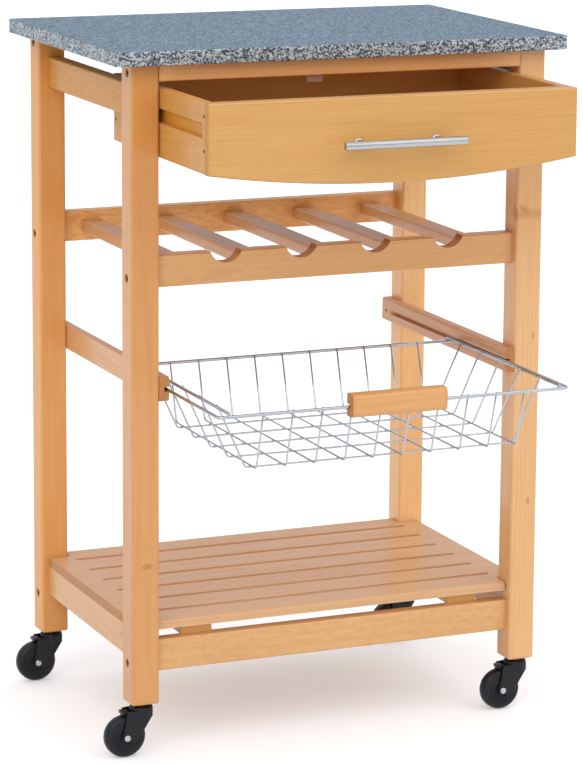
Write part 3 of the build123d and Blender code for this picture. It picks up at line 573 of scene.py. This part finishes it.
def pickFaces(piece, test):
    startPick("FACE")
    for face in piece.data.polygons:
        face.select = test(face.center, face.normal)
    bpy.ops.object.mode_set(mode="EDIT")


def pickEdges(piece, test):
    startPick("EDGE")
    points = piece.data.vertices
    for edge in piece.data.edges:
        first, second = [points[i].co for i in edge.vertices]
        edge.select = test((first + second) / 2, (second - first).normalized())
    bpy.ops.object.mode_set(mode="EDIT")


def pickAll(kind):
    bpy.ops.object.mode_set(mode="EDIT")
    bpy.ops.mesh.select_mode(type=kind)
    bpy.ops.mesh.select_all(action="SELECT")


def extrude(step):
    bpy.ops.mesh.extrude_region_move(TRANSFORM_OT_translate={"value": step})


def inset(width, rise=0.0):
    bpy.ops.mesh.inset(thickness=width, depth=rise)


def bevel(width, segments=3):
    bpy.ops.mesh.bevel(offset=width, segments=segments, affect="EDGES", profile=0.5)


# rounds the rim of the faces that pass a test
def bevelRim(piece, test, width, segments=3):
    pickFaces(piece, test)
    bpy.ops.mesh.region_to_loop()
    bevel(width, segments)


# names a piece, gives it its finish, and says what it stands for and rides on
def settle(piece, name, material, body=None, stands=(), smooth=35):
    bpy.ops.object.mode_set(mode="EDIT")
    bpy.ops.mesh.select_all(action="SELECT")
    bpy.ops.mesh.remove_doubles(threshold=0.000002)
    bpy.ops.mesh.normals_make_consistent(inside=False)
    clearPick()
    piece.select_set(True)
    bpy.context.view_layer.objects.active = piece
    applyPlace()
    bpy.ops.object.shade_smooth_by_angle(angle=math.radians(smooth))
    piece.name = name
    piece.data.materials.clear()
    piece.data.materials.append(material)
    if body:
        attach(piece, body)
    if stands:
        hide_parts(*stands)
    return piece


# a copy with its own mesh, moved by a step
def copyPiece(piece, name, step):
    clearPick()
    piece.select_set(True)
    bpy.context.view_layer.objects.active = piece
    bpy.ops.object.duplicate(linked=False)
    twin = bpy.context.object
    twin.location = Vector(twin.location) + Vector(step)
    applyPlace()
    twin.name = name
    return twin


def joinPieces(pieces):
    clearPick()
    for piece in pieces:
        piece.select_set(True)
    bpy.context.view_layer.objects.active = pieces[0]
    bpy.ops.object.join()
    return pieces[0]


# closes both ends of a wire and rounds them
def capWire(sides, radius):
    bpy.ops.mesh.select_all(action="SELECT")
    bpy.ops.mesh.fill_holes(sides=0)
    bpy.ops.mesh.select_all(action="SELECT")
    bpy.ops.mesh.normals_make_consistent(inside=False)
    bpy.ops.mesh.select_mode(type="FACE")
    bpy.ops.mesh.select_all(action="DESELECT")
    bpy.ops.mesh.select_face_by_sides(number=sides)
    bpy.ops.mesh.inset(thickness=radius * 0.4, depth=radius * 0.3, use_individual=True)


# a round wire along a line, with an even bend at each corner; a closed line ends where it starts
def bendWire(line, bend, radius, sides=10, steps=5, closed=False):
    stops = [Vector(place) for place in line]
    ahead = (stops[1] - stops[0]).normalized()
    turn = ahead.to_track_quat("Z", "Y").to_euler()
    clearPick()
    bpy.ops.mesh.primitive_circle_add(vertices=sides, radius=radius, location=stops[0], rotation=turn)
    wire = bpy.context.object
    applyPlace()
    pickAll("VERT")
    here = stops[0]
    for corner, after in zip(stops[1:-1], stops[2:]):
        onward = (after - corner).normalized()
        angle = ahead.angle(onward)
        cut = bend * math.tan(angle / 2)
        start = corner - ahead * cut
        extrude(start - here)
        inward = (onward - ahead * ahead.dot(onward)).normalized()
        centre = start + inward * bend
        # with no window a spin turns the other way, so its angle is negative
        bpy.ops.mesh.spin(steps=steps, angle=-angle, center=centre, axis=ahead.cross(onward))
        here = corner + onward * cut
        ahead = onward
    extrude(stops[-1] - here)
    if not closed:
        capWire(sides, radius)
    bpy.ops.object.mode_set(mode="OBJECT")
    return wire


# a flat outline round a row of circles (x, z, radius), like a belt round pulleys
def beltRound(circles, steps=6):
    places = []
    count = len(circles)
    for n in range(count):
        x, z, radius = circles[n]
        angles = []
        for first, second in ((circles[n - 1], circles[n]), (circles[n], circles[(n + 1) % count])):
            dx, dz = second[0] - first[0], second[1] - first[1]
            gap = math.hypot(dx, dz)
            angles.append(math.atan2(dz, dx) - math.acos((first[2] - second[2]) / gap))
        while angles[1] < angles[0] - 1e-9:
            angles[1] += 2 * math.pi
        for i in range(steps + 1):
            angle = angles[0] + (angles[1] - angles[0]) * i / steps
            places.append((x + radius * math.cos(angle), z + radius * math.sin(angle)))
    return places


# a plate cut to an outline in X and Z, from one Y to another
def cutPlate(outline, y0, y1):
    clearPick()
    bpy.ops.mesh.primitive_plane_add(size=0.01, location=(0, 0, 0))
    plate = bpy.context.object
    pickAll("VERT")
    bpy.ops.mesh.merge(type="CENTER")
    bpy.ops.transform.translate(value=(outline[0][0], y0, outline[0][1]))
    for before, after in zip(outline, outline[1:]):
        step = (after[0] - before[0], 0, after[1] - before[1])
        bpy.ops.mesh.extrude_vertices_move(TRANSFORM_OT_translate={"value": step})
    bpy.ops.mesh.select_all(action="SELECT")
    bpy.ops.mesh.remove_doubles(threshold=0.00001)
    bpy.ops.mesh.edge_face_add()
    extrude((0, y1 - y0, 0))
    bpy.ops.mesh.select_all(action="SELECT")
    bpy.ops.mesh.normals_make_consistent(inside=False)
    bpy.ops.object.mode_set(mode="OBJECT")
    return plate


basketCut = {
    "bend": 0.006,           # of the thin wires
    "corner": 0.007,         # of the frame wire
    "thin": 0.0011,
    "endLean": 17.0,
    "sideLean": 24.5,
    "tip": 0.0016,           # how far thin wires stand above the wire they hook over
    "long": 10,
    "cross": 5,
    "crossPitch": 0.0535,
    "weldGap": 0.00005,
    "barEnd": 0.0006,        # the side bars' ends, short of their box
    "bead": 0.00145,
    "squash": (1.25, 1.05, 0.62),
}


# where a leaning wire passes the wire it hangs from: its tip, and its bend below
def hang(topAt, topZ, thick, lean, bendZ, toward):
    tip = basketCut["tip"]
    slope = math.tan(math.radians(lean)) * toward
    apart = thick + basketCut["thin"] + basketCut["weldGap"]
    beside = topAt + toward * apart / math.cos(math.radians(lean))
    return (beside - slope * tip, topZ + tip), (beside + slope * (topZ - bendZ), bendZ)


# small squashed beads where wires are welded together
def weldBeads(places, size):
    clearPick()
    bpy.ops.mesh.primitive_ico_sphere_add(subdivisions=2, radius=size, location=places[0])
    bead = bpy.context.object
    bpy.ops.object.mode_set(mode="EDIT")
    bpy.ops.transform.resize(value=basketCut["squash"], center_override=places[0])
    bpy.ops.object.mode_set(mode="OBJECT")
    applyPlace()
    steps = [Vector(place) - Vector(places[0]) for place in places[1:]]
    return joinPieces([bead] + [copyPiece(bead, "weld", step) for step in steps])


def makeBasket():
    cut = basketCut
    frameLow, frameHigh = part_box("basket_frame_wire")
    barLow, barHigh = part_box("basket_side_bars")
    longLow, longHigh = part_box("basket_long_wires")
    thick = (frameHigh.z - frameLow.z) / 2
    thin = cut["thin"]
    wireZ = frameLow.z + thick
    barZ = barLow.z + thick
    front, back = frameLow.y + thick, frameHigh.y - thick
    side = frameHigh.x - thick
    barX = barHigh.x - thick
    middle = (front + back) / 2
    corners = ((0, back), (side, back), (side, front), (-side, front), (-side, back), (0, back))
    line = [(x, y, wireZ) for x, y in corners]
    rim = bendWire(line, cut["corner"], thick, sides=16, steps=7, closed=True)
    settle(rim, "basket_rim_wire", chrome, "basket", ["basket_frame_wire"], 60)
    bars = []
    for x in (-barX, barX):
        ends = [(x, y, barZ) for y in (barLow.y + cut["barEnd"], barHigh.y - cut["barEnd"])]
        bars.append(bendWire(ends, cut["bend"], thick, sides=16))
    settle(joinPieces(bars), "basket_bars", chrome, "basket", ["basket_side_bars"], 60)
    lowZ = longLow.z + thin
    tipA, bendA = hang(front, wireZ, thick, cut["endLean"], lowZ, 1)
    tipB, bendB = hang(back, wireZ, thick, cut["endLean"], lowZ, -1)
    reach = longHigh.x - thin
    longPlaces = [-reach + 2 * reach * n / (cut["long"] - 1) for n in range(cut["long"])]
    first = bendWire([(longPlaces[0], y, z) for y, z in (tipA, bendA, bendB, tipB)], cut["bend"], thin)
    wires = [first] + [copyPiece(first, "long", (x - longPlaces[0], 0, 0)) for x in longPlaces[1:]]
    wires = joinPieces(wires)
    settle(wires, "basket_wires_lengthwise", chrome, "basket", ["basket_long_wires"], 60)
    underZ = lowZ - 2 * thin - cut["weldGap"]
    tipC, bendC = hang(barX, barZ, thick, cut["sideLean"], underZ, -1)
    crossPlaces = [middle + (n - (cut["cross"] - 1) / 2) * cut["crossPitch"] for n in range(cut["cross"])]
    across = (tipC, bendC, (-bendC[0], bendC[1]), (-tipC[0], tipC[1]))
    first = bendWire([(x, crossPlaces[0], z) for x, z in across], cut["bend"], thin)
    wires = [first] + [copyPiece(first, "cross", (0, y - crossPlaces[0], 0)) for y in crossPlaces[1:]]
    wires = joinPieces(wires)
    settle(wires, "basket_wires_across", chrome, "basket", ["basket_cross_wires"], 60)
    beads = [(x, y, lowZ - thin) for x in longPlaces for y in crossPlaces]
    hooks = [(x, place, wireZ) for x in longPlaces for place in (front + thick, back - thick)]
    hooks += [(sign * (barX - thick), y, barZ) for sign in (-1, 1) for y in crossPlaces]
    hooks += [(sign * barX, y, wireZ + thick) for sign in (-1, 1) for y in (front, back)]
    welds = weldBeads(beads + hooks, cut["bead"])
    settle(welds, "basket_welds", chrome, "basket", [], 60)


handleCut = {
    "sides": 32,
    "endRound": 0.0012,
    "dish": (0.45, 0.08),    # insets on the bar's ends, as shares of its radius
    "dishDepth": 0.0002,
    "flange": 0.0049,        # radius of the foot of each post
    "flangeThick": 0.0016,
    "flangeRound": 0.0006,
    "flangeCrown": 0.0005,
    "neck": 0.0034,
    "neckRise": 0.0003,
    "neckShort": 0.001,      # where the neck starts to widen, before the bar
    "saddle": 0.0028,
    "saddleWide": 1.16,
}


# the drawer's steel bar on two turned posts
def makeHandle():
    cut = handleCut
    low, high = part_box("drawer_handle_bar")
    middle = (low + high) / 2
    radius = (high.z - low.z) / 2
    bar = addCylinder(radius, high.x - low.x, middle, cut["sides"], (0, math.pi / 2, 0))
    bevelRim(bar, lambda centre, normal: abs(normal.x) > 0.9, cut["endRound"])
    pickFaces(bar, lambda centre, normal: abs(normal.x) > 0.999)
    inset(radius * cut["dish"][0])
    inset(radius * cut["dish"][1], -cut["dishDepth"])
    settle(bar, "handle_bar", satin, "drawer", ["drawer_handle_bar"], 40)
    postLow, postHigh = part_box("drawer_handle_posts")
    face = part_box("drawer_front")[0].y
    postX = (postHigh.x - postLow.x) / 2 - (postHigh.z - postLow.z) / 2
    neckLong = face - middle.y - radius - cut["neckShort"]
    neckLong -= cut["flangeThick"] + cut["flangeCrown"] + cut["neckRise"]
    foot = (-postX, face, middle.z)
    clearPick()
    bpy.ops.mesh.primitive_circle_add(
        vertices=24, radius=cut["flange"], location=foot, rotation=(math.pi / 2, 0, 0), fill_type="NGON"
    )
    post = bpy.context.object
    applyPlace()
    pickAll("FACE")
    extrude((0, -cut["flangeThick"], 0))
    inset(cut["flangeRound"])
    bpy.ops.transform.translate(value=(0, -cut["flangeCrown"], 0))
    inset(cut["flange"] - cut["flangeRound"] - cut["neck"])
    bpy.ops.transform.translate(value=(0, -cut["neckRise"], 0))
    extrude((0, -neckLong, 0))
    bpy.ops.transform.resize(value=(cut["saddleWide"], 1, cut["saddleWide"]), center_override=foot)
    extrude((0, -cut["saddle"], 0))
    posts = joinPieces([post, copyPiece(post, "post", (2 * postX, 0, 0))])
    settle(posts, "handle_posts", satin, "drawer", ["drawer_handle_posts"], 40)


# what a caster's pieces share; they are modelled with the stem at the origin
casterCut = {
    "trail": 0.0210,
    "wheel": 0.0250,
    "plateIn": 0.0093,
    "plateOut": 0.0120,
    "pinX": -0.0181,         # the lever's pin
    "pinZ": 0.0536,
}
axle = (-casterCut["trail"], 0, casterCut["wheel"])
wheelCut = {
    "width": 0.017,
    "shoulder": 0.0062,
    "rings": (0.0172, 0.0150, 0.0128, 0.0106),       # fine grooves round the wheel's face
    "groove": 0.0004,
    "hub": 0.0072,
    "hubSink": 0.0007,
    "hubRise": 0.0009,
    "hubRound": 0.0005,
}


def makeWheel():
    cut = wheelCut
    radius = casterCut["wheel"]
    wheel = addCylinder(radius, cut["width"], axle, 64)
    bevelRim(wheel, lambda centre, normal: abs(normal.y) > 0.9, cut["shoulder"], 7)
    for sign in (-1, 1):
        at = radius - cut["shoulder"]
        pickFaces(wheel, lambda centre, normal: normal.y * sign > 0.999)
        for ring in cut["rings"]:
            inset(at - ring)
            inset(cut["groove"], -cut["groove"])
            inset(cut["groove"], cut["groove"])
            at = ring - 2 * cut["groove"]
        inset(at - cut["hub"], -cut["hubSink"])
        inset(cut["hubRound"], cut["hubRise"])
        inset(cut["hubRound"])
    return settle(wheel, "wheel", tread, smooth=30)


forkCut = {
    # the plate's outline is a belt round circles (x, z, radius)
    "belt": [
        (-casterCut["trail"], casterCut["wheel"], 0.0055),
        (-0.0140, 0.0265, 0.0082),                   # heel
        (0.0070, 0.0500, 0.0030),                    # two corners under the hood
        (0.0083, 0.0568, 0.0018),
        (casterCut["pinX"], casterCut["pinZ"], 0.0027),
    ],
    "plateRound": 0.0007,
    "hood": 0.0140,
    "hoodLow": 0.0515,
    "hoodTop": 0.0610,
    "hoodRound": 0.0032,
    "dishRim": 0.0024,
    "dishWall": 0.0006,
    "dishDepth": 0.0007,
    "skirtLow": 0.0480,
    "skirtWall": 0.0022,
    "skirtOverlap": 0.0013,
    "skirtHalf": 118,        # degrees to each side of the front
}


def makePlate(sign):
    near, far = casterCut["plateIn"], casterCut["plateOut"]
    plate = cutPlate(beltRound(forkCut["belt"]), sign * near, sign * far)
    bevelRim(plate, lambda centre, normal: abs(normal.y) > 0.99 and abs(centre.y) > far - 0.0001,
             forkCut["plateRound"])
    return plate


def makeHood():
    cut = forkCut
    middle = (0, 0, (cut["hoodTop"] + cut["hoodLow"]) / 2)
    hood = addCylinder(cut["hood"], cut["hoodTop"] - cut["hoodLow"], middle, 48, (0, 0, 0))
    bevelRim(hood, lambda centre, normal: normal.z > 0.9, cut["hoodRound"], 5)
    pickFaces(hood, lambda centre, normal: normal.z > 0.999)
    inset(cut["dishRim"])
    inset(cut["dishWall"], -cut["dishDepth"])
    return hood


# part of a ring round the front of the hood, clear of the wheel: a plane's section, spun about the stem
def makeSkirt():
    cut = forkCut
    low, high = cut["skirtLow"], cut["hoodLow"] + cut["skirtOverlap"]
    start = math.radians(cut["skirtHalf"])
    origin = (0, 0, 0)
    clearPick()
    bpy.ops.mesh.primitive_plane_add(size=1, location=origin)
    skirt = bpy.context.object
    bpy.ops.object.mode_set(mode="EDIT")
    bpy.ops.mesh.select_all(action="SELECT")
    bpy.ops.transform.resize(value=(cut["skirtWall"], high - low, 1), center_override=origin)
    bpy.ops.transform.rotate(value=math.pi / 2, orient_axis="X", center_override=origin)
    bpy.ops.transform.translate(value=(cut["hood"] - cut["skirtWall"] / 2, 0, (high + low) / 2))
    bpy.ops.transform.rotate(value=start, orient_axis="Z", center_override=origin)
    bpy.ops.mesh.spin(steps=28, angle=-2 * start, center=origin, axis=(0, 0, 1))
    bpy.ops.object.mode_set(mode="OBJECT")
    return skirt


def makeFork():
    parts = [makePlate(-1), makePlate(1), makeHood(), makeSkirt()]
    return settle(joinPieces(parts), "fork", black, smooth=35)


rivetCut = {
    "head": 0.0036,
    "thick": 0.0006,
    "shank": 0.0030,
    "crown": ((0.0006, 0.0004), (0.0009, 0.00025), (0.0009, 0.00012), (0.0003, -0.00012)),   # insets, rises
}


def makeRivet():
    cut = rivetCut
    far = casterCut["plateOut"]
    parts = []
    for sign in (-1, 1):
        place = (axle[0], sign * (far + cut["thick"] / 2), axle[2])
        head = addCylinder(cut["head"], cut["thick"], place, 28)
        pickFaces(head, lambda centre, normal: normal.y * sign > 0.9)
        for width, rise in cut["crown"]:
            inset(width, rise)
        parts.append(head)
    shank = addCylinder(cut["shank"], 2 * far, axle, 24)
    pickFaces(shank, lambda centre, normal: abs(normal.y) > 0.9)
    bpy.ops.mesh.delete(type="FACE")
    bpy.ops.object.mode_set(mode="OBJECT")
    parts.append(shank)
    return settle(joinPieces(parts), "rivet", zinc, smooth=50)


# the brake lever, with its places given from its pin
pedalCut = {
    "belt": [
        (-0.00685, -0.00115, 0.0007),
        (0, 0, 0.0020),
        (-0.0002, 0.0010, 0.0010),
        (-0.0066, 0.0009, 0.0010),
    ],
    "half": 0.0075,
    "round": 0.0008,
    "ribs": (-0.0045, 0.0, 0.0045),      # under the toe
    "ribX": -0.0044,
    "ribZ": -0.0015,
    "ribSize": (0.0040, 0.0012, 0.0022),
    "ribRound": 0.0004,
    "pin": 0.0013,
    "pinLong": 0.0226,
    "pinDish": (0.0003, 0.0001),
}


def makePedal():
    cut = pedalCut
    x, z = casterCut["pinX"], casterCut["pinZ"]
    half = cut["half"]
    outline = beltRound([(x + dx, z + dz, radius) for dx, dz, radius in cut["belt"]], 4)
    pedal = cutPlate(outline, -half, half)
    pickEdges(pedal, lambda centre, along: abs(along.y) < 0.1 and abs(abs(centre.y) - half) < 0.0002)
    bevel(cut["round"])
    pieces = [pedal]
    ribLow = z + cut["ribZ"] - cut["ribSize"][2] / 2
    for y in cut["ribs"]:
        clearPick()
        place = (x + cut["ribX"], y, z + cut["ribZ"])
        bpy.ops.mesh.primitive_cube_add(size=1, location=place, scale=cut["ribSize"])
        rib = bpy.context.object
        applyPlace()
        pickEdges(rib, lambda centre, along: centre.z < ribLow + 0.0003)
        bevel(cut["ribRound"], 2)
        bpy.ops.object.mode_set(mode="OBJECT")
        pieces.append(rib)
    pin = addCylinder(cut["pin"], cut["pinLong"], (x, 0, z), 20)
    pickFaces(pin, lambda centre, normal: abs(normal.y) > 0.9)
    inset(*cut["pinDish"])
    bpy.ops.object.mode_set(mode="OBJECT")
    pieces.append(pin)
    return settle(joinPieces(pieces), "pedal", black, smooth=35)


def makeCasters():
    patterns = [
        (makeWheel(), "caster_wheel", "wheel", "black_tread"),
        (makeFork(), "caster_fork", "caster", "black_plastic"),
        (makeRivet(), "caster_axle", "caster", "zinc_steel"),
        (makePedal(), "brake_lever", "lever", "black_plastic"),
    ]
    for end in ("front", "back"):
        for side in ("left", "right"):
            at = end + "_" + side
            legLow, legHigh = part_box("leg_" + at)
            step = Vector(((legLow.x + legHigh.x) / 2, (legLow.y + legHigh.y) / 2, 0))
            for pattern, node, body, slot in patterns:
                twin = copyPiece(pattern, pattern.name + "_" + at, step)
                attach(twin, body + "_" + at)
                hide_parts(node + "_" + at)
    clearPick()
    for pattern, *_ in patterns:
        pattern.select_set(True)
    bpy.ops.object.delete()


makeBasket()
makeHandle()
makeCasters()
print("basket, handle and casters")


# the studio: pale floor, soft lamps, camera
studio = {
    "floorSize": 120.0,
    "floorDrop": 0.0005,     # below the wheels
    "floorTint": (0.80, 0.80, 0.80, 1.0),
    "floorCloud": (0.78, 0.78, 0.78, 1.0),
    "floorLift": 0.30,       # what the camera and reflections see above the lit floor
    "skyLow": (0.40, 0.44, 0.50, 1.0),
    "skyHigh": (1.05, 1.06, 1.09, 1.0),
    "skyTurn": (0.20, 0.55),     # heights between which one becomes the other
    "suns": [
        # from, strength, angle across
        ((-0.75, -1.0, 0.75), 0.88, 50),
        ((0.9, -0.9, 0.9), 0.52, 60),
    ],
}


def makeFloor():
    clearPick()
    bpy.ops.mesh.primitive_plane_add(size=studio["floorSize"], location=(0, 0, -studio["floorDrop"]))
    floor = bpy.context.object
    floor.name = "studio_floor"
    sheet = Finish("studio_floor")
    rays = {ray.socket.name: ray for ray in sheet.parts(sheet.node("ShaderNodeLightPath"))}
    seen = rays["Is Camera Ray"] + rays["Is Glossy Ray"] + rays["Is Transmission Ray"]
    cloud = sheet.noise(sheet.coords, 3.0)
    sheet.set(
        Base_Color=sheet.blend(cloud * 0.02, studio["floorTint"], studio["floorCloud"]),
        Roughness=1.0,
        Specular_IOR_Level=0.0,
        Emission_Color=(1.0, 1.0, 1.0, 1.0),
        Emission_Strength=sheet.maths("MINIMUM", seen, 1.0) * studio["floorLift"],
    )
    floor.data.materials.append(sheet.material)


def makeSky():
    world = bpy.data.worlds.new("studio_sky")
    bpy.context.scene.world = world
    world.use_nodes = True
    sky = Shader(world.node_tree)
    height = sky.split(sky.node("ShaderNodeTexCoord", {}, out=0))[2]
    tint = sky.blend(sky.rise(height, *studio["skyTurn"]), studio["skyLow"], studio["skyHigh"])
    shade = sky.node("ShaderNodeBackground", {}, [tint, 1.0])
    sky.node("ShaderNodeOutputWorld", {}, [shade])


def makeSuns():
    for place, strength, angle in studio["suns"]:
        bpy.ops.object.light_add(type="SUN", location=Vector(place) * 4)
        sun = bpy.context.object
        sun.rotation_euler = Vector(place).to_track_quat("Z", "Y").to_euler()
        sun.data.energy = strength
        sun.data.angle = math.radians(angle)


viewpoint = {
    "place": (-1.5548, -3.6977, 1.2636),
    "turn": 24.362,          # degrees, as are tilt and roll
    "tilt": 10.474,
    "roll": 0.649,
    "focal": 3325.3 / 766.0,      # in image heights, as are the shifts
    "shift": (-0.10444, -0.13055),
    "sensor": 36.0,
    "farClip": 200.0,
}


def makeCamera():
    turn, tilt, roll = [math.radians(viewpoint[key]) for key in ("turn", "tilt", "roll")]
    ahead = Vector((math.sin(turn) * math.cos(tilt), math.cos(turn) * math.cos(tilt), -math.sin(tilt)))
    level = Vector((math.cos(turn), -math.sin(turn), 0.0))
    over = level.cross(ahead)
    right = level * math.cos(roll) + over * math.sin(roll)
    up = over * math.cos(roll) - level * math.sin(roll)
    bpy.ops.object.camera_add(location=viewpoint["place"])
    camera = bpy.context.object
    camera.rotation_euler = Matrix((right, up, -ahead)).transposed().to_euler()
    camera.data.sensor_width = viewpoint["sensor"]
    camera.data.lens = viewpoint["focal"] * viewpoint["sensor"]
    camera.data.shift_x, camera.data.shift_y = viewpoint["shift"]
    camera.data.clip_end = viewpoint["farClip"]
    bpy.context.scene.camera = camera


makeFloor()
makeSky()
makeSuns()
makeCamera()
bpy.context.scene.view_settings.view_transform = "Standard"
print("studio and camera")
